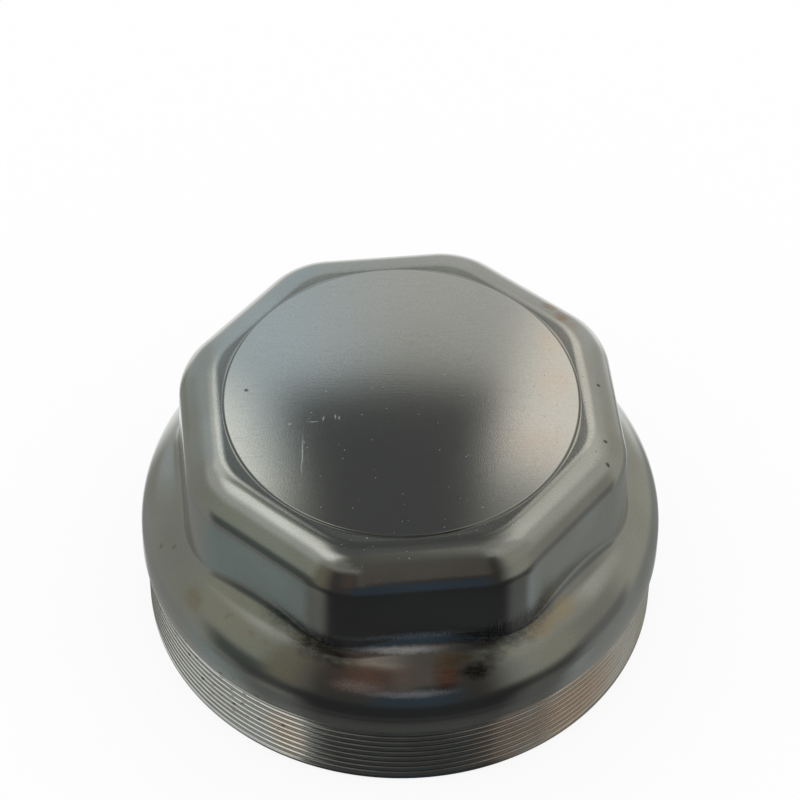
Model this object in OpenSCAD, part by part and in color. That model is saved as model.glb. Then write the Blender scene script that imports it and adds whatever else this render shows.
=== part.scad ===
// Hub grease cap: pressed from one piece of sheet steel and closed at the top.
// It screws into a wheel hub by the fine thread on its skirt and is turned by its eight-sided head.
// The origin is the centre of the open rim, with +Z towards the closed top.

/* [Threaded skirt] */
// Major diameter of the fine thread
thread_d = 125; // [110:0.5:140]
// Thickness of the skirt from its bore to the crest of the thread
skirt_wall = 3; // [2.4:0.1:4]
// Height of the threaded skirt, from the rim to the seat under the collar
skirt_h = 20.4; // [14:0.2:26]
// Chamfer at the start of the thread
lead_chamfer = 1; // [0.4:0.1:1.6]
// Chamfer inside the open rim
rim_chamfer = 0.4; // [0.2:0.1:0.8]

/* [Collar] */
// Width of the seat that stops the cap against the hub
seat_w = 0.9; // [0.6:0.1:2]
// Height of the straight collar above the seat
collar_h = 5; // [3:0.2:9]
// Break on the lower edge of the collar
collar_chamfer = 0.3; // [0.1:0.05:0.4]
// Radius of the roll from the collar up to the head
roll_r = 17; // [15:0.5:19]

/* [Head] */
// Width across the flats of the eight-sided head
head_flats = 104; // [98:0.5:106]
// Radius of the upright corners between the flats
corner_r = 20; // [12:0.5:26]
// Corner radius that is left where the bend reaches the top
top_corner_r = 10; // [4:0.5:11]
// Radius of the bend from the flats to the top
bend_r = 9.5; // [6:0.5:11]
// Radius of the hollow between the flats and the roll
foot_r = 6; // [4:0.5:8]
// Draft of the flats in degrees
draft = 3; // [0:0.5:5]
// Height of the top above the rim
top_h = 66.8; // [62:0.2:74]
// Direction of the first flat, in degrees about the axis
flat_turn = 6.5; // [0:0.5:45]

/* [Raised disc] */
// Diameter of the raised disc on the top
disc_d = 84; // [60:1:85]
// Height of the disc's edge above the top
disc_rise = 0.3; // [0.2:0.1:1]
// Height of the disc's dome above its edge
disc_dome = 1.1; // [0.5:0.1:1.5]

/* [Sheet] */
// Thickness of the sheet
sheet = 3; // [2:0.1:3.6]

/* [Hidden] */
steel = "#a9aba8";
sides = 8;
// columns on each flat and on each corner, and steps along each arc of the section
flat_steps = 5;
corner_steps = 7;
bend_steps = 7;
foot_steps = 5;
roll_steps = 6;
round_fn = 128;
dome_steps = 6;
// depth to which the disc runs down into the top
disc_seat = 1;
// how far the hollow below the disc stays inside the disc's edge
disc_draw = 2;
// how far the pressed top runs down inside the collar, and the lap of the two surfaces there
lap_h = 2;
lap = 0.05;

thread_r = thread_d / 2;
bore_r = thread_r - skirt_wall;
collar_r = thread_r + seat_w;
collar_top = skirt_h + collar_h;
// centre of the roll's arc, which ends upright at the top of the collar
roll_x = collar_r - lap - roll_r;
half_side = 180 / sides;

// half the angle that the straight part of a flat takes, seen from the axis
function flat_half(apothem, corner) = atan((apothem - corner) * tan(half_side) / apothem);
// distance from the axis to the rounded eight-sided outline, at an angle from the middle of a flat
function outline_r(apothem, corner, u) =
    u <= flat_half(apothem, corner) ? apothem / cos(u)
    : let(c = (apothem - corner) / cos(half_side), v = half_side - u)
      c * cos(v) + sqrt(corner * corner - pow(c * sin(v), 2));

// angles of the columns from the middle of one flat to the middle of the next
split = flat_half(head_flats / 2, corner_r);
side_angles = concat(
    [for (i = [0:flat_steps - 1]) -split + 2 * split * i / flat_steps],
    [for (i = [0:corner_steps - 1]) split + 2 * (half_side - split) * i / corner_steps]);
columns = [for (s = [0:sides - 1]) for (u = side_angles) [s * 2 * half_side + u, u <= split ? abs(u) : abs(2 * half_side - u) < half_side ? 2 * half_side - u : u]];

// one column of the pressed section: from the top's edge, round the bend, down the flat,
// through the hollow at its foot and over the roll to the lap inside the collar
function section(u, inset) =
    let(
        a = head_flats / 2 - inset,
        c = corner_r - inset,
        ct = max(top_corner_r - inset, 1),
        b = bend_r - inset,
        f = foot_r + inset,
        w = roll_r - inset,
        top = top_h - inset,
        bend_z = top - b + b * sin(draft),
        bend_a = a - b * (1 - cos(draft)),
        r0 = outline_r(bend_a, c, u),
        // centre of the hollow's arc: a radius off the flat, and touching the roll
        gap = w + f,
        k = tan(draft),
        p = r0 + bend_z * k + f / cos(draft) - roll_x - collar_top * k,
        // height of that centre above the centre of the roll
        h = (p * k + sqrt(pow(p * k, 2) - (1 + k * k) * (p * p - gap * gap))) / (1 + k * k),
        cx = roll_x + p - h * k,
        cz = collar_top + h,
        from = 180 + draft,
        to = 180 + atan2(cz - collar_top, cx - roll_x),
        meet = to - 180)
    concat(
        [for (i = [0:bend_steps]) let(q = 90 + (draft - 90) * i / bend_steps)
            [outline_r(a - b * (1 - cos(q)), ct + (c - ct) * cos(q), u), top - b + b * sin(q)]],
        [for (i = [0:foot_steps]) let(q = from + (to - from) * i / foot_steps)
            [cx + f * cos(q), cz + f * sin(q)]],
        [for (i = [1:roll_steps]) let(q = meet * (1 - i / roll_steps))
            [roll_x + w * cos(q), collar_top + w * sin(q)]],
        [[roll_x + w, collar_top - lap_h]]);

// the pressed top: outer and inner sections joined into one closed skin
module pressed_top() {
    outer = [for (c = columns) section(c[1], 0)];
    inner = [for (c = columns) section(c[1], sheet)];
    n = len(columns);
    m = len(outer[0]);
    loops = 2 * m;
    ring = [for (j = [0:n - 1]) let(full = concat(outer[j], [for (i = [m - 1:-1:0]) inner[j][i]]))
        for (q = full) [q[0] * cos(columns[j][0]), q[0] * sin(columns[j][0]), q[1]]];
    points = concat(ring, [[0, 0, top_h], [0, 0, top_h - sheet]]);
    skin = [for (j = [0:n - 1]) let(e = (j + 1) % n) for (i = [0:loops - 2])
        for (t = [[j * loops + i, e * loops + i, e * loops + i + 1],
                  [j * loops + i, e * loops + i + 1, j * loops + i + 1]]) t];
    // flat fans that close the top and the face under it
    top_fan = [for (j = [0:n - 1]) [((j + 1) % n) * loops, j * loops, n * loops]];
    under_fan = [for (j = [0:n - 1]) [j * loops + loops - 1, ((j + 1) % n) * loops + loops - 1, n * loops + 1]];
    polyhedron(points = points, faces = concat(skin, top_fan, under_fan), convexity = 6);
}

// the rolled skirt and collar: a true body of revolution with the bore, seat and chamfers
module skirt() {
    rotate_extrude($fn = round_fn)
        polygon([
            [bore_r + rim_chamfer, 0],
            [thread_r - lead_chamfer, 0],
            [thread_r, lead_chamfer],
            [thread_r, skirt_h],
            [collar_r - collar_chamfer, skirt_h],
            [collar_r, skirt_h + collar_chamfer],
            [collar_r, collar_top],
            [collar_r - sheet - 2 * lap, collar_top],
            [collar_r - sheet - 2 * lap, collar_top - lap_h - lap],
            [bore_r, skirt_h - sheet / 2],
            [bore_r, rim_chamfer]]);
}

// the slightly domed disc that is pressed up in the middle of the top
// Profile of the dome between the axis and a radius: its rise falls with the square of the distance
function dome_profile(r, rise) = [for (i = [0:dome_steps]) let(q = 1 - i / dome_steps)
    [r * q, rise + disc_dome * (1 - q * q)]];

module raised_disc() {
    disc_r = disc_d / 2;
    translate([0, 0, top_h])
        rotate_extrude($fn = round_fn)
            polygon(concat([[0, -disc_seat], [disc_r, -disc_seat]], dome_profile(disc_r, disc_rise)));
}

// The sheet follows the disc, so its underside is hollow where its top is raised
module disc_hollow() {
    translate([0, 0, top_h - sheet])
        rotate_extrude($fn = round_fn)
            polygon(concat([[0, -disc_seat], [disc_d / 2 - disc_draw, -disc_seat]],
                dome_profile(disc_d / 2 - disc_draw, 0)));
}

module grease_cap() {
    color(steel)
        rotate([0, 0, flat_turn - 90])
            difference() {
                union() {
                    skirt();
                    pressed_top();
                    raised_disc();
                }
                disc_hollow();
            }
}

grease_cap();
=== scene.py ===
import math

import bpy
import numpy as np
from mathutils import Matrix


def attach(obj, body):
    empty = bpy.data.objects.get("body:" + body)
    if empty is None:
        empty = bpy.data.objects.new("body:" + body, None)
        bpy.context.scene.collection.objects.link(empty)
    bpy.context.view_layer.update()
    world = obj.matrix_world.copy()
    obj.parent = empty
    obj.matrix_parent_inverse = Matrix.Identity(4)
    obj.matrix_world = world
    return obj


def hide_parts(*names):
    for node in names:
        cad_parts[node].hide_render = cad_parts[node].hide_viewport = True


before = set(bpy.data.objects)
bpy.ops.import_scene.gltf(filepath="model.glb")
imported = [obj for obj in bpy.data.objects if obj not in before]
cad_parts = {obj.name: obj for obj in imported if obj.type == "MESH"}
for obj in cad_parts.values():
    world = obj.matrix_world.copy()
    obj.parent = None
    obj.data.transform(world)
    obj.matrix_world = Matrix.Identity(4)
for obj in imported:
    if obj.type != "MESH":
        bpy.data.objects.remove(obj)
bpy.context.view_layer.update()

# Hub grease cap: one piece of sheet steel, pressed to an eight-sided head over a round, threaded skirt.
# Every size below is in millimetres, in the same frame as the solid: rim at z = 0, +Z to the closed top.
# Angles are in radians where math.radians makes them, and in degrees on the studio's tent.
MM = 0.001

# Threaded skirt
THREAD_R = 62.5
SKIRT_WALL = 3.0
SKIRT_H = 20.4
LEAD_CHAMFER = 1.0
RIM_CHAMFER = 0.4

# Thread: the lean is how much deeper a crest's lower edge lies than its upper one, and the steps are the
# points of its profile from the middle of a crest to the middle of a groove, as shares of the pitch. It
# fades into the lead chamfer within part of a turn, and faster by the last factor into the collar.
THREAD_PITCH = 2.0
GROOVE_DEPTH = 0.62
CREST_LEAN = 0.11
CREST_END = 0.30
CREST_EDGE_DROP = 0.02
LEAN_PAST_CREST = 0.06
FADE_TURNS = 0.8
TOP_FADE = 1.6
PROFILE_STEPS = np.array([0.15, 0.27, CREST_END, 0.33, 0.38, 0.43, 0.47])

# Collar and the roll above it, which ends inside the collar by the lap
COLLAR_R = 63.39
COLLAR_TOP = 25.4
COLLAR_CHAMFER = 0.3
ROLL_R = 17.0
LAP = 0.05

# Head: the foot's hollow arc is wider by the swell in the middle of a flat and narrower by it at a corner
HEAD_APOTHEM = 52.0
CORNER_R = 20.0
TOP_CORNER_R = 10.0
BEND_R = 9.5
FOOT_R = 6.0
FOOT_SWELL = 1.8
DRAFT = math.radians(3.0)
TOP_H = 66.8
FLAT_TURN = math.radians(6.5 - 90.0)
HALF_SIDE = math.pi / 8

# Disc with its soft step, the slight valley that dips towards it, and the sheet
DISC_R = 42.0
DISC_RISE = 0.3
DISC_DOME = 1.1
STEP_HALF = 0.25
STEP_OFFSETS = (-0.45, -0.25, -0.1, 0.0, 0.1, 0.2, 0.3)
DISC_FOOT_R = DISC_R + STEP_OFFSETS[-1]
RING_DIP = 0.14
RING_DIP_REACH = 3.0
HOLLOW_R = 40.0
SHEET = 3.0

# Softened edges, and the points round each ring of the skin
EASE = 0.06
COLUMNS = 320


def side_angle(theta):
    """Angle from the middle of the nearest flat: the turn about the axis folded into half a side."""
    return np.abs((theta - FLAT_TURN + HALF_SIDE) % (2 * HALF_SIDE) - HALF_SIDE)


def outline(apothem, corner, u):
    """Distance from the axis to a rounded octagon: apothem over cosine on the flat, then the corner's arc."""
    reach = np.arctan((apothem - corner) * math.tan(HALF_SIDE) / apothem)
    centre = (apothem - corner) / math.cos(HALF_SIDE)
    v = HALF_SIDE - u
    arc = centre * np.cos(v) + np.sqrt(np.maximum(corner ** 2 - (centre * np.sin(v)) ** 2, 0))
    return np.where(u <= reach, apothem / np.cos(u), arc)


def pressed_section(u, inset, steps):
    """Rows (radius, height) from the top's edge to the collar: bend arc, drafted flat, hollow foot arc that
    touches the flat and the roll, and the roll arc that ends upright. Inset moves all of it into the
    sheet."""
    bend_steps, flat_steps, foot_steps, roll_steps = steps
    a, c, ct = HEAD_APOTHEM - inset, CORNER_R - inset, TOP_CORNER_R - inset
    b, w, top = BEND_R - inset, ROLL_R - inset, TOP_H - inset
    f = FOOT_R + inset + FOOT_SWELL * np.cos(u * math.pi / HALF_SIDE)
    rows = []
    for q in np.linspace(math.pi / 2, DRAFT, bend_steps + 1):
        ring = outline(a - b * (1 - math.cos(q)), ct + (c - ct) * math.cos(q), u)
        rows.append((ring, np.full_like(u, top - b + b * math.sin(q))))
    wall_r, wall_z = rows[-1]
    k = math.tan(DRAFT)
    roll_x = COLLAR_R - LAP - ROLL_R
    p = wall_r + wall_z * k + f / math.cos(DRAFT) - roll_x - COLLAR_TOP * k
    gap = w + f
    h = (p * k + np.sqrt((p * k) ** 2 - (1 + k * k) * (p * p - gap * gap))) / (1 + k * k)
    cx, cz = roll_x + p - h * k, COLLAR_TOP + h
    start = math.pi + DRAFT
    end = math.pi + np.arctan2(cz - COLLAR_TOP, cx - roll_x)
    foot_r, foot_z = cx + f * math.cos(start), cz + f * math.sin(start)
    for t in np.linspace(0, 1, flat_steps + 1)[1:-1]:
        rows.append((wall_r + (foot_r - wall_r) * t, wall_z + (foot_z - wall_z) * t))
    for t in np.linspace(0, 1, foot_steps + 1):
        q = start + (end - start) * t
        rows.append((cx + f * np.cos(q), cz + f * np.sin(q)))
    for t in np.linspace(0, 1, roll_steps + 1)[1:]:
        q = (end - math.pi) * (1 - t)
        rows.append((roll_x + w * np.cos(q), COLLAR_TOP + w * np.sin(q)))
    return rows


def ring_points(rows, theta):
    """Points of a stack of rings: radius times cosine and sine of the turn, and the height."""
    r = np.array([np.broadcast_to(row[0], theta.shape) for row in rows])
    z = np.array([np.broadcast_to(row[1], theta.shape) for row in rows])
    return np.stack([r * np.cos(theta), r * np.sin(theta), z], axis=-1)


def ring_triangles(count, columns, start):
    """Two triangles for each cell of a stack of closed rings that runs outwards and down."""
    i, j = np.meshgrid(np.arange(count - 1), np.arange(columns), indexing="ij")
    e = (j + 1) % columns
    a, b = start + i * columns + j, start + (i + 1) * columns + j
    c, d = start + (i + 1) * columns + e, start + i * columns + e
    return np.concatenate([np.stack([a, b, c], -1).reshape(-1, 3), np.stack([a, c, d], -1).reshape(-1, 3)])


def thread_strip(theta, low, high):
    """Points and triangles of the helical thread: each row climbs one pitch a turn, is held between the
    two ends, and keeps the crest's radius but for a narrow vee of sixty degrees with a rounded root."""
    phases = np.concatenate([[0.0], PROFILE_STEPS, 1 - PROFILE_STEPS[::-1]])
    away = np.minimum(phases, 1 - phases)
    depth = np.clip((away - CREST_END) * THREAD_PITCH * math.sqrt(3.0), 0, GROOVE_DEPTH)
    depth[np.isclose(away, CREST_END)] = CREST_EDGE_DROP
    below = np.where(phases > 0.5, phases - 1, phases)
    lean = np.clip((CREST_END - below) / (2 * CREST_END), 0, 1)
    depth += CREST_LEAN * lean * (away < CREST_END + LEAN_PAST_CREST)
    per_turn = len(phases)
    turns = int(math.ceil((high - low) / THREAD_PITCH)) + 1
    k = np.arange(turns * per_turn + 1)
    base = low - THREAD_PITCH + THREAD_PITCH * (k // per_turn + phases[k % per_turn])
    z = np.clip(base[:, None] + THREAD_PITCH * theta[None, :] / (2 * math.pi), low, high)
    end = np.minimum(z - low, (high - z) * TOP_FADE) / (FADE_TURNS * THREAD_PITCH)
    fade = np.clip(end, 0, 1)
    fade = fade * fade * (3 - 2 * fade)
    r = THREAD_R - depth[k % per_turn][:, None] * fade
    points = np.stack([r * np.cos(theta), r * np.sin(theta), z], axis=-1).reshape(-1, 3)
    n, last = len(theta), len(k) - 1
    i, j = np.meshgrid(np.arange(last), np.arange(n), indexing="ij")
    seam = np.where(j == n - 1, per_turn, 0)
    e = (j + 1) % n
    a, b = i * n + j, np.minimum(i + seam, last) * n + e
    c, d = np.minimum(i + 1 + seam, last) * n + e, (i + 1) * n + j
    tris = np.concatenate([np.stack([a, b, c], -1).reshape(-1, 3), np.stack([a, c, d], -1).reshape(-1, 3)])
    return points, tris


def ring_dip(r):
    """Depth of the slight valley pressed round the disc: deepest beside it and gone a little way out."""
    return RING_DIP * np.clip(1 - (r - DISC_FOOT_R) / RING_DIP_REACH, 0, 1) ** 1.1


def disc_rows(theta):
    """Rows from near the middle to the top's edge: a parabolic dome, a soft step down, and the valley
    round it."""
    rows = []
    for q in np.linspace(0, 1, 13)[1:-1]:
        r = (DISC_R + STEP_OFFSETS[0]) * q
        rows.append((r, TOP_H + DISC_RISE + DISC_DOME * (1 - (r / DISC_R) ** 2)))
    for off in STEP_OFFSETS:
        t = min(max((off + STEP_HALF) / (2 * STEP_HALF), 0), 1)
        fall = 1 - t * t * (3 - 2 * t)
        r = DISC_R + off
        dome = DISC_RISE + DISC_DOME * (1 - (min(r, DISC_R) / DISC_R) ** 2)
        rows.append((r, TOP_H + dome * fall - RING_DIP * (1 - fall)))
    inner_edge = outline(HEAD_APOTHEM - BEND_R, TOP_CORNER_R, side_angle(theta))
    for t in (0.2, 0.5, 0.8):
        r = DISC_FOOT_R + (inner_edge - DISC_FOOT_R) * t
        rows.append((r, TOP_H - ring_dip(r)))
    return rows


def cap_mesh():
    """The whole skin: outer rings from the middle of the top to the seat, the thread, then the rim, the bore
    and the inner rings back to the middle, welded where the parts share a ring."""
    theta = np.arange(COLUMNS) * 2 * math.pi / COLUMNS
    u = side_angle(theta)
    bore_r = THREAD_R - SKIRT_WALL
    outer = disc_rows(theta) + [(r, z - ring_dip(r)) for r, z in pressed_section(u, 0.0, (16, 5, 13, 20))]
    bevel_top = SKIRT_H + COLLAR_CHAMFER
    outer += [(COLLAR_R - LAP / 2, COLLAR_TOP - 0.4), (COLLAR_R, COLLAR_TOP - 1.0),
              (COLLAR_R, (COLLAR_TOP + SKIRT_H) / 2), (COLLAR_R, bevel_top + 0.4),
              (COLLAR_R, bevel_top + 2 * EASE),
              (COLLAR_R - EASE / 2, bevel_top), (COLLAR_R - COLLAR_CHAMFER, SKIRT_H + EASE / 2),
              (COLLAR_R - COLLAR_CHAMFER - 2 * EASE, SKIRT_H), (THREAD_R, SKIRT_H)]
    inner_sheet = pressed_section(u, SHEET, (8, 3, 8, 9))[::-1]
    lower = [(THREAD_R, LEAD_CHAMFER), (THREAD_R - EASE, LEAD_CHAMFER - EASE),
             (THREAD_R - LEAD_CHAMFER + EASE, EASE), (THREAD_R - LEAD_CHAMFER - EASE, 0.0),
             (bore_r + RIM_CHAMFER + EASE, 0.0), (bore_r + RIM_CHAMFER - EASE, EASE), (bore_r, RIM_CHAMFER),
             (bore_r, 6.0), (bore_r, 12.0), (bore_r, SKIRT_H - SHEET / 2)]
    lower += inner_sheet + [(r, TOP_H - SHEET + DISC_DOME * (1 - (r / HOLLOW_R) ** 2))
                            for r in np.linspace(HOLLOW_R, 0, 6)[:-1]]
    top_points = ring_points(outer, theta).reshape(-1, 3)
    low_points = ring_points(lower, theta).reshape(-1, 3)
    thread_points, thread_tris = thread_strip(theta, LEAD_CHAMFER, SKIRT_H)
    n_top, n_low = len(top_points), len(low_points)
    poles = np.array([[0, 0, TOP_H + DISC_RISE + DISC_DOME], [0, 0, TOP_H - SHEET + DISC_DOME]], float)
    points = np.concatenate([top_points, low_points, thread_points, poles])
    j = np.arange(COLUMNS)
    e = (j + 1) % COLUMNS
    first_pole = len(points) - 2
    last_ring = n_top + n_low - COLUMNS
    tris = np.concatenate([
        ring_triangles(len(outer), COLUMNS, 0),
        ring_triangles(len(lower), COLUMNS, n_top),
        thread_tris + n_top + n_low,
        np.stack([np.full(COLUMNS, first_pole), j, e], -1),
        np.stack([np.full(COLUMNS, first_pole + 1), last_ring + e, last_ring + j], -1)])
    _, first, inverse = np.unique(np.round(points, 5), axis=0, return_index=True, return_inverse=True)
    tris = inverse.reshape(-1)[tris]
    keep = (tris[:, 0] != tris[:, 1]) & (tris[:, 1] != tris[:, 2]) & (tris[:, 0] != tris[:, 2])
    return points[first], tris[keep]


def new_piece(name, points, tris, material):
    """A mesh object at the origin from arrays of points in millimetres and triangles."""
    mesh = bpy.data.meshes.new(name)
    mesh.vertices.add(len(points))
    mesh.vertices.foreach_set("co", (points * MM).astype(np.float32).ravel())
    mesh.loops.add(tris.size)
    mesh.loops.foreach_set("vertex_index", tris.astype(np.int32).ravel())
    mesh.polygons.add(len(tris))
    mesh.polygons.foreach_set("loop_start", (np.arange(len(tris)) * 3).astype(np.int32))
    mesh.polygons.foreach_set("use_smooth", np.ones(len(tris), bool))
    mesh.update(calc_edges=True)
    mesh.validate()
    mesh.set_sharp_from_angle(angle=math.radians(42))
    mesh.materials.append(material)
    piece = bpy.data.objects.new(name, mesh)
    bpy.context.scene.collection.objects.link(piece)
    return piece


class Nodes:
    """A short way to add and link a material's nodes."""

    def __init__(self, tree):
        self.tree = tree
        tree.nodes.clear()

    def add(self, kind, links=None, **values):
        node = self.tree.nodes.new(kind)
        for key, value in values.items():
            setattr(node, key, value)
        for socket, source in (links or {}).items():
            self.plug(source, node.inputs[socket])
        return node

    def plug(self, source, socket):
        if isinstance(source, bpy.types.NodeSocket):
            self.tree.links.new(source, socket)
        else:
            socket.default_value = source

    def math(self, operation, a, b=0.0):
        return self.add("ShaderNodeMath", {0: a, 1: b}, operation=operation).outputs[0]

    def vector(self, operation, a, b=(0.0, 0.0, 0.0)):
        return self.add("ShaderNodeVectorMath", {0: a, 1: b}, operation=operation).outputs["Vector"]

    def ramp(self, value, low, high, out_low=0.0, out_high=1.0):
        return self.add("ShaderNodeMapRange", {"Value": value, "From Min": low, "From Max": high,
                                               "To Min": out_low, "To Max": out_high},
                        interpolation_type="SMOOTHSTEP").outputs["Result"]

    def noise(self, vector, scale, detail=2.0, rough=0.5):
        return self.add("ShaderNodeTexNoise", {"Vector": vector, "Scale": scale, "Detail": detail,
                                               "Roughness": rough}).outputs["Fac"]

    def blend(self, factor, a, b, mode="MIX"):
        node = self.add("ShaderNodeMix", {0: factor}, data_type="RGBA", blend_type=mode)
        for index, source in ((6, a), (7, b)):
            self.plug((*source, 1.0) if isinstance(source, tuple) else source, node.inputs[index])
        return node.outputs[2]

    def spot(self, position, place, half, soft=0.5):
        """One inside an upright ellipsoid with these half sizes in millimetres, falling off past its skin."""
        away = self.vector("DIVIDE", self.vector("SUBTRACT", position, place), half)
        length = self.add("ShaderNodeVectorMath", {0: away}, operation="LENGTH").outputs["Value"]
        return self.ramp(length, 1 + soft, max(1 - soft, 0))

    def specks(self, position, scale, size, share):
        """Small round dots of a size in millimetres, kept in this share of a cellular pattern's cells."""
        cells = self.add("ShaderNodeTexVoronoi", {"Vector": position, "Scale": scale}, feature="F1")
        dot = self.ramp(cells.outputs["Distance"], size * scale, size * scale * 0.6)
        pick = self.add("ShaderNodeSeparateColor", {0: cells.outputs["Color"]}).outputs[0]
        return self.math("MULTIPLY", dot, self.math("LESS_THAN", pick, share))


# Heat tints and stains, with painted shade in the foot and on the wall at the head's front corners and a
# painted dark reflection on the thread's front: a name, the middle and the half sizes in millimetres, the
# share of the steel's colour that they hide, the softness of the edge and their colour
STAINS_AND_SHADE = [
    ("red brown front of the roll", (-7, -59, 36.3), (10, 5, 3.6), 0.80, 0.8, (0.86, 0.60, 0.49)),
    ("orange spot", (11, -58.5, 36.6), (2.8, 4, 3.4), 0.90, 0.6, (0.56, 0.25, 0.15)),
    ("brown over the orange spot", (12.5, -55.5, 38.9), (5, 3, 0.9), 0.80, 0.6, (0.50, 0.36, 0.24)),
    ("black blotch", (18.3, -56.9, 36.2), (4.2, 3, 1.5), 0.95, 0.5, (0.10, 0.09, 0.08)),
    ("black smear above the blotch", (22, -54.4, 38.6), (3.4, 3, 1.5), 0.75, 0.7, (0.13, 0.12, 0.11)),
    ("bronze patch", (33, -45.9, 39.3), (4, 4, 1.8), 0.60, 0.5, (0.72, 0.52, 0.33)),
    ("bronze streak", (38, -41, 39.8), (4.5, 4, 1.6), 0.60, 0.6, (0.74, 0.58, 0.36)),
    # Painted shade: the next seven darken the hollow foot and the wall at the head's front corners, where
    # shade and dark reflections fall
    ("painted shade in the foot, left corner", (-19.3, -52.4, 40.9), (5.5, 3.5, 3.0), 1.00, 0.7, (0.11, 0.11, 0.10)),
    ("painted shade along the foot, left", (-25.5, -47.6, 42.2), (7.5, 5, 1.9), 0.85, 0.8, (0.15, 0.16, 0.155)),
    ("painted shade under the foot, left corner", (-14.5, -55.2, 38.7), (5, 3, 1.2), 0.85, 0.8, (0.12, 0.12, 0.115)),
    ("painted shade under the foot, right corner", (27.5, -49.3, 39.7), (6.0, 4, 1.5), 0.75, 0.8, (0.18, 0.18, 0.17)),
    ("painted shade on the wall, right corner", (33.0, -43.2, 46.5), (3.2, 3.5, 4.5), 0.60, 0.8, (0.30, 0.31, 0.30)),
    ("painted shade in the foot, right corner", (31.0, -44.4, 43.2), (6.0, 4.5, 3.2), 0.85, 0.8, (0.20, 0.20, 0.19)),
    ("painted shade in the foot, front", (20.5, -51.0, 42.0), (8.5, 4, 2.8), 0.95, 0.8, (0.13, 0.13, 0.125)),
    ("tan left shoulder", (-41, -41, 37.5), (13, 10, 5), 0.30, 0.7, (0.66, 0.56, 0.42)),
    ("brown smudge on the left", (-48.5, -36, 35.2), (2.6, 3, 2.2), 0.45, 0.6, (0.44, 0.32, 0.20)),
    ("brown tick, far left", (-57, -19.9, 35.2), (0.5, 0.6, 0.9), 0.60, 0.5, (0.34, 0.24, 0.14)),
    ("brown tick, left", (-53.5, -22.4, 37.6), (0.6, 0.6, 0.7), 0.60, 0.5, (0.34, 0.24, 0.14)),
    ("brown tick, middle left", (-39.6, -42.8, 37.5), (1.2, 0.5, 0.6), 0.45, 0.6, (0.42, 0.32, 0.22)),
    ("pink tick", (-34, -47.5, 37.3), (1.2, 0.7, 0.5), 0.45, 0.6, (0.52, 0.36, 0.30)),
    ("pink tick, lower", (-31, -49.8, 37.1), (1.8, 0.7, 0.5), 0.35, 0.6, (0.55, 0.40, 0.34)),
    ("rust at the back right", (38.6, 27.3, 66.3), (2.0, 1.7, 1.2), 0.85, 0.6, (0.48, 0.33, 0.22)),
    ("rust at the back right, upper", (35.6, 31.2, 65.8), (2.0, 1.3, 1.2), 0.80, 0.6, (0.46, 0.34, 0.25)),
    ("rust at the back right, lower", (41.2, 24.9, 66.2), (1.4, 1.2, 1.0), 0.45, 0.6, (0.55, 0.38, 0.28)),
    ("pink on the disc, back", (35.5, 18.5, 67.3), (3.5, 4.5, 2), 0.28, 0.7, (0.72, 0.53, 0.41)),
    ("pink on the disc, right", (36.0, 6, 67.4), (4.0, 6, 2), 0.26, 0.7, (0.72, 0.52, 0.42)),
    ("pink on the disc, front right", (31.5, -14, 67.4), (6.5, 6, 2), 0.26, 0.7, (0.70, 0.50, 0.42)),
    ("warm thread, left of the front", (-26, -56.5, 11), (5, 4, 8), 0.60, 0.6, (0.80, 0.64, 0.49)),
    ("bronze thread on the right", (42, -45, 10), (14, 13, 9), 0.75, 0.5, (0.58, 0.40, 0.29)),
    ("brown thread, right of the front", (24, -58, 10), (8, 5, 9), 0.60, 0.6, (0.50, 0.36, 0.27)),
    # Painted dark reflection on the front of the thread
    ("painted dark reflection on the thread, in front", (0, -62, 10), (19, 6, 10), 0.60, 0.25, (0.30, 0.32, 0.34)),
]

# Rubbed places that scatter the light more, and whose pale colours are partly painted highlight and painted
# reflection: name, middle, half sizes, roughness, softness, pallor, colour
RUBBED_AND_SHEEN = [
    ("silver arc over the roll", (0.5, -54.3, 40.9), (8.5, 2.2, 0.75), 0.60, 0.7, 0.09, (0.92, 0.92, 0.95)),
    ("grey blue arc in the foot", (3.0, -53.0, 44.2), (14, 2.2, 0.9), 0.34, 0.7, 0.02, (0.62, 0.72, 0.82)),
    ("silver band low on the roll", (2.5, -61.3, 33.1), (9, 3, 0.75), 0.46, 0.8, 0.07, (0.74, 0.73, 0.78)),
    ("grainy streak, front left", (-9.5, -60.2, 34.2), (5, 2.4, 1.2), 0.42, 0.9, 0.05, (0.80, 0.64, 0.58)),
]

# Fine scratches on the disc: middle, half sizes
SCRATCHES = [
    ((-22.8, -18.5, 67.6), (0.16, 6.0, 2.0)),
    ((-26.0, -9.2, 67.8), (0.5, 0.2, 2.0)),
    ((-20.5, -8.6, 67.8), (1.4, 0.14, 2.0)),
    ((-18.2, -7.6, 67.8), (0.2, 0.7, 2.0)),
    ((-15.4, -7.0, 67.9), (0.2, 0.8, 2.0)),
    ((-14.6, -7.4, 67.9), (0.2, 0.6, 2.0)),
]


# Dark marks on the steel: a name, the middle in millimetres
MARKS = [
    ("mark in the middle of the disc", (8.5, -17.7, 0)),
    ("mark on the right bend", (46.7, 5.9, 65.6)),
    ("mark on the right bend, lower", (47.6, -11.9, 65.9)),
    ("mark on the left of the disc", (-36.5, 1.5, 67.4)),
    ("mark on the right front bend", (48.1, -17.7, 64.3)),
]
MARK_HALF = (0.45, 0.45, 1.5)

# Places in the foot's corners that get painted shade, streaked along the drawing lines: middle, half sizes
FOOT_SHADE_SPOTS = [
    ((-18.5, -52, 41), (4, 6, 4)),
    ((26, -48.5, 42.5), (9, 7, 4)),
]

# Finish of the steel: how far ragged and fine edges wander, the roughness of its grain, how much smoother
# the disc is, and the height of the grain
STAIN_WANDER = 2.2
FINE_WANDER = 0.8
ROUGHNESS = (0.12, 0.18)
DISC_POLISH = 0.04
GRAIN_HEIGHT = 0.012
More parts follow.
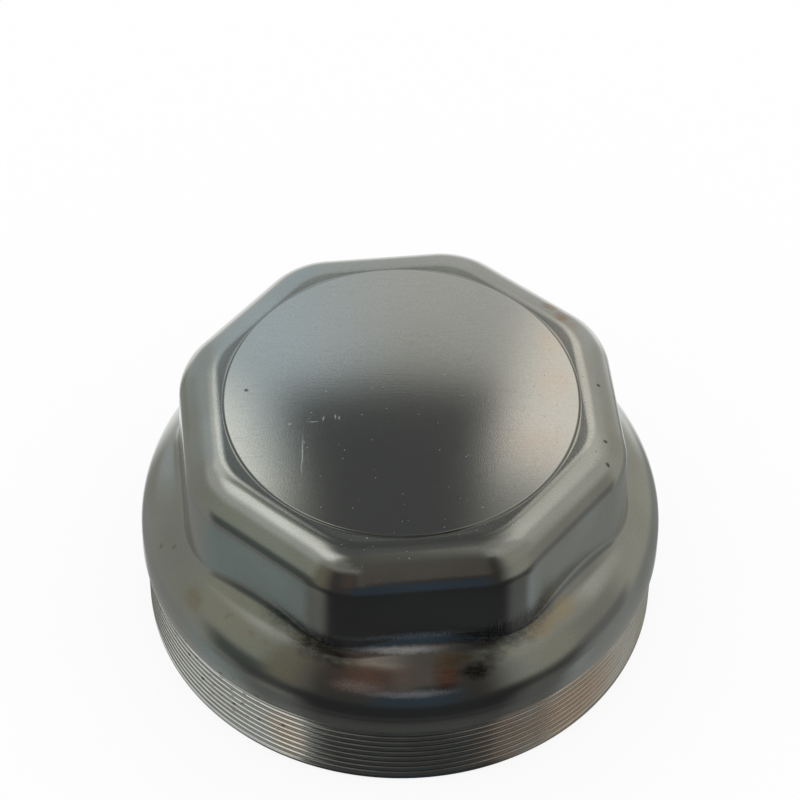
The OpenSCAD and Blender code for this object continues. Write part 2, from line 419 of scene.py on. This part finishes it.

# Colours of the sheet and of what lies on it, with painted shade for the foot's corners, the thread's grooves
# and the disc's edge
GREY_STEEL, PALE_STEEL, DISC_STEEL = (0.575, 0.57, 0.545), (0.63, 0.63, 0.61), (0.70, 0.69, 0.67)
# Painted shade for the foot's corners, then the grain's colour
FOOT_SHADE_STEEL, GRAIN_STEEL = (0.16, 0.16, 0.155), (0.33, 0.33, 0.32)
BRUSHED_TAN, THREAD_BROWN = (0.52, 0.47, 0.42), (0.42, 0.36, 0.33)
# Painted shade for the thread's grooves and for the disc's edge
GROOVE_SHADE, DISC_EDGE_SHADE = (0.06, 0.055, 0.05), (0.17, 0.175, 0.175)
RUST_PRICK, DUST = (0.10, 0.075, 0.06), (0.85, 0.85, 0.83)


class Sheet:
    """What the finishes of the cap share: a point's place in millimetres, the zones of the cap that it is in,
    the uneven patterns of the pressed sheet, and the places of painted shade in the foot's corners."""

    def __init__(self, n):
        metres = n.add("ShaderNodeTexCoord").outputs["Object"]
        self.place = place = n.vector("MULTIPLY", metres, (1 / MM,) * 3)
        x, y, self.height = n.add("ShaderNodeSeparateXYZ", {0: place}).outputs
        self.reach = n.math("SQRT", n.math("ADD", n.math("MULTIPLY", x, x), n.math("MULTIPLY", y, y)))
        self.outside = n.math("GREATER_THAN", self.reach, THREAD_R - SKIRT_WALL / 2)
        self.on_thread = n.math("MULTIPLY", self.outside, n.math("LESS_THAN", self.height, SKIRT_H))
        self.on_disc = n.math("MULTIPLY", n.ramp(self.reach, DISC_R + 0.1, DISC_R - 0.3),
                              n.math("GREATER_THAN", self.height, TOP_H))
        wander = n.add("ShaderNodeTexNoise", {"Vector": place, "Scale": 0.45, "Detail": 3.0}).outputs["Color"]
        stray = n.vector("SUBTRACT", wander, (0.5, 0.5, 0.5))
        self.ragged = n.vector("ADD", place, n.vector("MULTIPLY", stray, (STAIN_WANDER,) * 3))
        self.calm = n.vector("ADD", place, n.vector("MULTIPLY", stray, (FINE_WANDER,) * 3))
        self.broad = n.noise(place, 0.05)
        self.grain = n.noise(place, 3.2, 3.0, 0.6)
        self.drawn = n.noise(self.stretched(n, 1.0, 1.0, 0.05), 3.4, 2.0)
        self.brushed = n.noise(self.stretched(n, 0.12, 1.0, 1.0), 1.6, 3.0)
        self.rings = n.noise(self.stretched(n, 0.12, 0.12, 1.0), 1.1, 2.0)
        self.streaks = n.noise(self.stretched(n, 0.25, 1.0, 1.0), 1.4, 4.0, 0.65)
        self.scuffs = n.noise(self.stretched(n, 1.0, 1.0, 0.2), 3.4, 3.0)
        # Places of painted shade in the foot's corners
        self.foot_shade = n.math("MAXIMUM", *(n.spot(place, middle, half, 0.6) for middle, half in FOOT_SHADE_SPOTS))

    def stretched(self, n, *shares):
        """The place with each axis shrunk by its share, which draws a pattern out along that axis."""
        return n.vector("MULTIPLY", self.place, shares)


def bare_steel(n, sheet):
    """The pressed sheet's colour: broad tone, the paler disc, painted shade in the foot's corners, brushing
    and grain.
    """
    colour = n.blend(n.ramp(sheet.broad, 0.35, 0.65), GREY_STEEL, PALE_STEEL)
    colour = n.blend(n.math("MULTIPLY", sheet.on_disc, 0.75), colour, DISC_STEEL)
    # Painted shade in the foot's corners, in streaks along the drawing
    foot_shade_streaks = n.math("MULTIPLY", sheet.foot_shade, n.ramp(sheet.drawn, 0.45, 0.65, 0.0, 0.45))
    colour = n.blend(foot_shade_streaks, colour, FOOT_SHADE_STEEL)
    brush = n.math("MULTIPLY", sheet.on_disc, n.ramp(sheet.brushed, 0.5, 0.8, 0.0, 0.25))
    colour = n.blend(brush, colour, BRUSHED_TAN)
    return n.blend(n.ramp(sheet.grain, 0.42, 0.68, 0.0, 0.24), colour, GRAIN_STEEL)


def tinted_and_shaded(n, sheet, colour):
    """Each of the stains, the painted shade and the painted dark reflection laid over the steel in streaks,
    then the browned rings of the thread.
    """
    streaks = n.ramp(sheet.streaks, 0.3, 0.6, 0.45, 1.0)
    for _, middle, half, share, soft, patch_colour in STAINS_AND_SHADE:
        spot = n.spot(sheet.ragged, middle, half, soft)
        colour = n.blend(n.math("MULTIPLY", spot, n.math("MULTIPLY", share, streaks)), colour, patch_colour)
    browned = n.math("MULTIPLY", sheet.on_thread, n.ramp(sheet.rings, 0.45, 0.7, 0.0, 0.35))
    return n.blend(browned, colour, THREAD_BROWN)


def worn_with_sheen(n, sheet, colour):
    """The worn places: their colour, which is partly painted highlight, the roughness of the whole cap, and
    how little they are like metal.
    """
    polish = n.math("MULTIPLY", sheet.on_disc, DISC_POLISH)
    rough = n.math("SUBTRACT", n.ramp(sheet.grain, 0.3, 0.7, *ROUGHNESS), polish)
    pale = 0.0
    scuffed = n.ramp(sheet.scuffs, 0.32, 0.62, 0.55, 1.0)
    for _, middle, half, roughness, soft, pallor, silver in RUBBED_AND_SHEEN:
        cover = n.math("MULTIPLY", n.spot(sheet.calm, middle, half, soft), scuffed)
        pale = n.math("MAXIMUM", n.math("MULTIPLY", cover, pallor), pale)
        # The worn places' pale colours are partly painted highlight and painted reflection
        colour = n.blend(cover, colour, silver)
        rough = n.add("ShaderNodeMix", {0: cover, 2: rough, 3: roughness}).outputs[0]
    foot_shade_streaks = n.math("MULTIPLY", sheet.foot_shade, n.ramp(sheet.drawn, 0.35, 0.55, 0.20, 0.0))
    return colour, n.math("ADD", rough, foot_shade_streaks), pale


def shade_and_dirt(n, sheet, colour, rough):
    """Painted shade in the thread's grooves and along the disc's edge, then pits, pricks of rust and dark
    marks.
    """
    # Painted shade in the bottoms of the thread's grooves
    groove = n.math("MULTIPLY", sheet.on_thread, n.ramp(sheet.reach, THREAD_R - 0.26, THREAD_R - 0.42))
    colour = n.blend(n.math("MULTIPLY", groove, 0.88), colour, GROOVE_SHADE)
    # Painted shade along the disc's edge
    off_edge = n.math("ABSOLUTE", n.math("SUBTRACT", sheet.reach, DISC_R))
    edge_shade = n.math("MULTIPLY", n.ramp(off_edge, 0.34, 0.16),
                       n.math("GREATER_THAN", sheet.height, TOP_H - RING_DIP * 2))
    colour = n.blend(n.math("MULTIPLY", edge_shade, 0.65), colour, DISC_EDGE_SHADE)
    pits = n.specks(sheet.stretched(n, 0.7, 0.7, 1.6), 0.5, 0.50, 0.6)
    on_left = n.spot(sheet.place, (-45, -42, 15), (26, 24, 9), 0.2)
    pits = n.math("MULTIPLY", pits, n.math("MULTIPLY", sheet.outside, on_left))
    on_right = n.spot(sheet.place, (44, 8, 62), (17, 30, 9), 0.3)
    pricks = n.math("MULTIPLY", n.specks(sheet.place, 0.42, 0.24, 0.30), on_right)
    disc_right = n.spot(sheet.place, (35.5, 5, 67.4), (4, 14, 3), 0.5)
    flecks = n.math("MULTIPLY", n.specks(sheet.ragged, 0.8, 0.24, 0.20), disc_right)
    marks = n.math("MAXIMUM", n.math("MAXIMUM", pits, pricks), n.math("MULTIPLY", flecks, 0.6))
    for _, middle in MARKS:
        marks = n.math("MAXIMUM", marks, n.spot(sheet.calm, middle, MARK_HALF, 0.6))
    colour = n.blend(n.math("MULTIPLY", marks, 0.85), colour, RUST_PRICK)
    return colour, n.math("MAXIMUM", rough, n.math("MULTIPLY", groove, 0.5))


def dusty(n, sheet, colour, rough):
    """Pale dust on the top and the fine scratches of the disc, and how much of each point they hide."""
    on_top = n.spot(sheet.place, (0, -20, 67.5), (40, 40, 4), 0.2)
    dust = n.math("MULTIPLY", n.specks(sheet.ragged, 0.60, 0.11, 0.5), on_top)
    for middle, half in SCRATCHES:
        dust = n.math("MAXIMUM", dust, n.math("MULTIPLY", n.spot(sheet.calm, middle, half, 0.6), 0.45))
    return n.blend(dust, colour, DUST), n.math("MAXIMUM", rough, n.math("MULTIPLY", dust, 0.55)), dust


def steel_material():
    """Bare pressed steel: heat tints, stains, worn places partly painted as highlights, painted shade and a
    painted dark reflection, pits, rust, marks and dust.
    """
    material = bpy.data.materials.new("bare_pressed_steel")
    material.use_nodes = True
    n = Nodes(material.node_tree)
    sheet = Sheet(n)
    colour = tinted_and_shaded(n, sheet, bare_steel(n, sheet))
    colour, rough, pale = worn_with_sheen(n, sheet, colour)
    colour, rough = shade_and_dirt(n, sheet, colour, rough)
    colour, rough, dust = dusty(n, sheet, colour, rough)
    brush = n.math("MULTIPLY", sheet.on_disc, n.math("MULTIPLY", sheet.brushed, 0.35))
    bump = n.add("ShaderNodeBump", {"Strength": 0.6, "Distance": GRAIN_HEIGHT * MM,
                                    "Height": n.math("ADD", sheet.grain, brush)})
    metal = n.math("SUBTRACT", 1.0, n.math("MAXIMUM", pale, n.math("MULTIPLY", dust, 0.20)))
    shader = n.add("ShaderNodeBsdfPrincipled", {"Metallic": metal, "Base Color": colour, "Roughness": rough,
                                                "Normal": bump.outputs["Normal"]})
    n.add("ShaderNodeOutputMaterial", {"Surface": shader.outputs["BSDF"]})
    return material


# Paper under the cap: its side in metres, and the share of it that the camera sees as plain white
PAPER_SIDE = 8.0
BACKDROP_SHARE = 0.88


def floor_material():
    """White paper that keeps a faint shadow: for the camera most of it is a backdrop at full white."""
    material = bpy.data.materials.new("white_paper")
    material.use_nodes = True
    n = Nodes(material.node_tree)
    paper = n.add("ShaderNodeBsdfDiffuse", {"Color": (0.97, 0.97, 0.97, 1.0)})
    backdrop = n.add("ShaderNodeEmission", {"Strength": 1.0})
    seen = n.add("ShaderNodeLightPath").outputs["Is Camera Ray"]
    share = n.math("MULTIPLY", seen, BACKDROP_SHARE)
    both = n.add("ShaderNodeMixShader", {0: share, 1: paper.outputs["BSDF"], 2: backdrop.outputs["Emission"]})
    n.add("ShaderNodeOutputMaterial", {"Surface": both.outputs["Shader"]})
    return material


# The studio round the cap, as the metal sees it on a tent of this radius about a point on the axis. Each
# panel is a name, its middle (degrees to the right of straight behind, degrees up), its half width and half
# height, the softness of its edge, and its light. Later panels lie over earlier ones and over the base.
TENT_R = 350.0
TENT_MIDDLE = 30.0
TENT_ROWS, TENT_COLUMNS = 150, 300
TENT_BASE = (0.27, 0.28, 0.25)
PANELS = [
    ("right side", 60, 5, 40, 30, 24, (0.37, 0.37, 0.32)),
    ("right side, further round", 105, 5, 14, 36, 16, (0.25, 0.25, 0.22)),
    ("back wall", 2, 15, 42, 34, 20, (0.50, 0.51, 0.49)),
    ("cool patch in the back wall", -18, 30, 12, 26, 16, (0.46, 0.54, 0.57)),
    ("left back", -46, 20, 16, 26, 14, (0.38, 0.42, 0.42)),
    ("left side", -86, 4, 26, 30, 16, (0.265, 0.275, 0.245)),
    ("glow under the left softbox", -94, 40, 34, 10, 14, (0.43, 0.45, 0.42)),
    ("glow under the right softbox", 48, 40, 34, 12, 16, (0.47, 0.47, 0.42)),
    ("glow on the right side", 92, 30, 12, 12, 16, (0.44, 0.44, 0.40)),
    ("floor at the back", 0, -28, 42, 24, 16, (0.92, 0.94, 0.93)),
    ("floor at the back, left end", -50, -42, 12, 12, 10, (0.62, 0.64, 0.62)),
    ("floor on the right", 75, -38, 40, 18, 14, (0.24, 0.25, 0.24)),
    ("dull floor, right front", 120, -40, 16, 10, 14, (0.13, 0.135, 0.13)),
    ("dark line along the floor, right", 104, -16, 16, 8, 8, (0.16, 0.165, 0.16)),
    ("dark line along the floor, left", -124, -14, 15, 14, 13, (0.075, 0.090, 0.086)),
    ("floor on the left", -85, -44, 44, 18, 14, (0.245, 0.25, 0.24)),
    ("cool floor, left front", -106, -40, 14, 6, 14, (0.20, 0.255, 0.25)),
    ("cool floor, right front", 107, -40, 6, 6, 9, (0.28, 0.31, 0.31)),
    ("darker floor, left front", -117, -31, 11, 3, 8, (0.15, 0.155, 0.15)),
    ("ceiling", 0, 90, 180, 17, 10, (0.10, 0.105, 0.10)),
    ("ceiling over the back", 0, 74, 40, 10, 12, (0.095, 0.10, 0.095)),
    ("bright ceiling edge", 108, 74, 46, 6, 10, (0.26, 0.26, 0.24)),
    ("right softbox", 70, 55, 37, 12, 16, (0.62, 0.62, 0.565)),
    ("glow under the right softbox, front", 104, 43, 14, 5, 8, (0.42, 0.42, 0.385)),
    ("right softbox, front end", 122, 54, 22, 12, 12, (0.37, 0.37, 0.34)),
    ("left softbox", -101, 61, 38, 9, 13, (0.90, 0.93, 0.87)),
    ("left softbox, back end", -50, 52, 13, 8, 9, (0.66, 0.69, 0.64)),
    ("dark gap over the back", -1, 65, 15, 14, 5, (0.066, 0.07, 0.07)),
    ("dark gap, left end", -28, 72, 16, 7, 6, (0.075, 0.08, 0.08)),
    ("left card edge", -29, 55, 8, 7, 6, (0.95, 0.98, 0.92)),
    ("right card edge", 24, 49, 10, 9, 8, (0.86, 0.83, 0.75)),
    ("dull front over the lens", 182, 64, 26, 18, 16, (0.105, 0.105, 0.095)),
    ("grey left of the lens", -158, 53, 9, 8, 8, (0.20, 0.20, 0.185)),
    ("left front olive", -115, 17, 20, 18, 17, (0.262, 0.277, 0.232)),
    ("left front brown", -141, 12, 8, 26, 8, (0.17, 0.16, 0.12)),
    ("right front olive", 121, 30, 19, 12, 10, (0.315, 0.315, 0.27)),
    ("right front window", 124, 4, 9, 16, 8, (0.29, 0.29, 0.24)),
    ("dark opening on the right", 161, 3, 18, 41, 18, (0.045, 0.041, 0.038)),
    ("dark opening on the left", -164, -1, 17, 38, 13, (0.050, 0.047, 0.044)),
    ("dark corner on the right", 152, 44, 7, 6, 6, (0.05, 0.048, 0.042)),
    ("grey floor in front", 178, -48, 66, 14, 20, (0.11, 0.115, 0.11)),
    ("dark front floor", 176, -23, 64, 8, 12, (0.062, 0.064, 0.060)),
    ("darker front floor", 176, -31, 41, 15, 15, (0.026, 0.027, 0.028)),
    ("grey front over the lens", 168, 35, 10, 23, 9, (0.095, 0.088, 0.078)),
    ("blue under the lens", 174, -7, 15, 12, 9, (0.036, 0.052, 0.068)),
    ("red brown left of the lens", -168, 20, 6, 18, 9, (0.085, 0.068, 0.060)),
    ("paper by the skirt, left", -90, -60, 48, 9, 3, (0.86, 0.89, 0.88)),
    ("paper by the skirt, right", 66, -60, 46, 9, 6, (0.50, 0.46, 0.41)),
    ("paper by the skirt, right front", 122, -60, 14, 9, 6, (0.22, 0.19, 0.17)),
    ("dark paper in front", 178, -66, 43, 14, 4, (0.055, 0.058, 0.060)),
]


def soft_band(away, half, soft):
    """One within half of a band's middle and none past it, by a smooth step as wide as the soft edge."""
    step = np.clip((half + soft / 2 - np.abs(away)) / soft, 0.0, 1.0)
    return step * step * (3 - 2 * step)


def tent_light(turn, up):
    """The studio's light in each direction, in degrees: every panel is laid over the ones before it."""
    light = np.zeros((len(turn), 3)) + TENT_BASE
    for _, at_turn, at_up, wide, high, soft, colour in PANELS:
        beside = (turn - at_turn + 180.0) % 360.0 - 180.0
        share = (soft_band(beside, wide, soft) * soft_band(up - at_up, high, soft))[:, None]
        light += (np.array(colour) - light) * share
    return light


def studio_tent():
    """A closed sphere about the cap: rings of equal height angle, a pole at each end, and the studio's light
    at every point."""
    up, turn = (a.ravel() for a in np.meshgrid(np.linspace(-90, 90, TENT_ROWS + 1)[1:-1],
                                               np.arange(TENT_COLUMNS) * 360.0 / TENT_COLUMNS, indexing="ij"))
    up, turn = np.append(up, (-90.0, 90.0)), np.append(turn, (0.0, 0.0))
    out, high, turned = np.cos(np.radians(up)), np.sin(np.radians(up)), np.radians(turn)
    points = TENT_R * np.stack([out * np.sin(turned), out * np.cos(turned), high], 1)
    points[:, 2] += TENT_MIDDLE
    ring, column = np.meshgrid(np.arange(TENT_ROWS - 2), np.arange(TENT_COLUMNS), indexing="ij")
    after = (column + 1) % TENT_COLUMNS
    a, b = (ring * TENT_COLUMNS + column).ravel(), (ring * TENT_COLUMNS + after).ravel()
    c, d = a + TENT_COLUMNS, b + TENT_COLUMNS
    first, last = np.arange(TENT_COLUMNS), np.arange(TENT_COLUMNS) + (TENT_ROWS - 2) * TENT_COLUMNS
    low, top = np.full(TENT_COLUMNS, len(points) - 2), np.full(TENT_COLUMNS, len(points) - 1)
    tris = np.concatenate([np.stack([a, c, b], 1), np.stack([b, c, d], 1),
                           np.stack([low, first, np.roll(first, -1)], 1),
                           np.stack([top, np.roll(last, -1), last], 1)])
    tent = new_piece("studio_tent", points, tris, tent_material())
    light = tent.data.attributes.new("studio_light", "FLOAT_COLOR", "POINT")
    light.data.foreach_set("color", np.column_stack([tent_light(turn, up), np.ones(len(up))]).ravel())
    return tent


def tent_material():
    """A surface that glows with the light held at each of the tent's points, and isn't sampled as a lamp."""
    material = bpy.data.materials.new("studio_tent")
    material.use_nodes = True
    material.cycles.emission_sampling = "NONE"
    n = Nodes(material.node_tree)
    light = n.add("ShaderNodeAttribute", attribute_name="studio_light").outputs["Color"]
    shader = n.add("ShaderNodeEmission", {"Strength": 1.0, "Color": light})
    n.add("ShaderNodeOutputMaterial", {"Surface": shader.outputs["Emission"]})
    return material


# The cap
points, tris = cap_mesh()
cap = new_piece("grease_cap_skin", points, tris, steel_material())
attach(cap, "root")
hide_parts("grease_cap")

# Floor, and the studio tent that only reflections see
bpy.ops.mesh.primitive_plane_add(size=PAPER_SIDE)
floor = bpy.context.object
floor.name = "floor"
floor.data.materials.append(floor_material())
floor.visible_glossy = False

tent = studio_tent()
tent.visible_camera = False
tent.visible_diffuse = False
tent.visible_shadow = False
tent.visible_transmission = False

world = bpy.data.worlds.new("studio")
bpy.context.scene.world = world
world.use_nodes = True
world.node_tree.nodes["Background"].inputs["Color"].default_value = (1.0, 1.0, 1.0, 1.0)
world.node_tree.nodes["Background"].inputs["Strength"].default_value = 1.0

# Camera at the photograph's viewing angle: its place in millimetres, its angles in radians, and its focal
# length and frame in pixels
CAMERA_AT = (0.0, -484.2, 612.0)
CAMERA_DOWN = 0.8451
CAMERA_YAW = -0.0007
CAMERA_ROLL = 0.0105
FOCAL_PIXELS = 3096.9
FRAME_PIXELS = 800


def camera_axes():
    """Right, up and forward of the camera from its yaw, its look down and its roll."""
    ahead = math.cos(CAMERA_DOWN)
    forward = np.array([math.sin(CAMERA_YAW) * ahead, math.cos(CAMERA_YAW) * ahead, -math.sin(CAMERA_DOWN)])
    right = np.cross(forward, [0.0, 0.0, 1.0])
    right /= np.linalg.norm(right)
    up = np.cross(right, forward)
    level, lean = math.cos(CAMERA_ROLL), math.sin(CAMERA_ROLL)
    return right * level + up * lean, -right * lean + up * level, forward


lens = bpy.data.cameras.new("camera")
lens.sensor_width = 36.0
lens.lens = FOCAL_PIXELS / FRAME_PIXELS * lens.sensor_width
lens.clip_start = 0.05
camera = bpy.data.objects.new("camera", lens)
bpy.context.scene.collection.objects.link(camera)
right, up, forward = camera_axes()
turn = Matrix((right, up, -forward)).transposed().to_4x4()
camera.matrix_world = Matrix.Translation([v * MM for v in CAMERA_AT]) @ turn
bpy.context.scene.camera = camera
bpy.context.scene.view_settings.view_transform = "Standard"
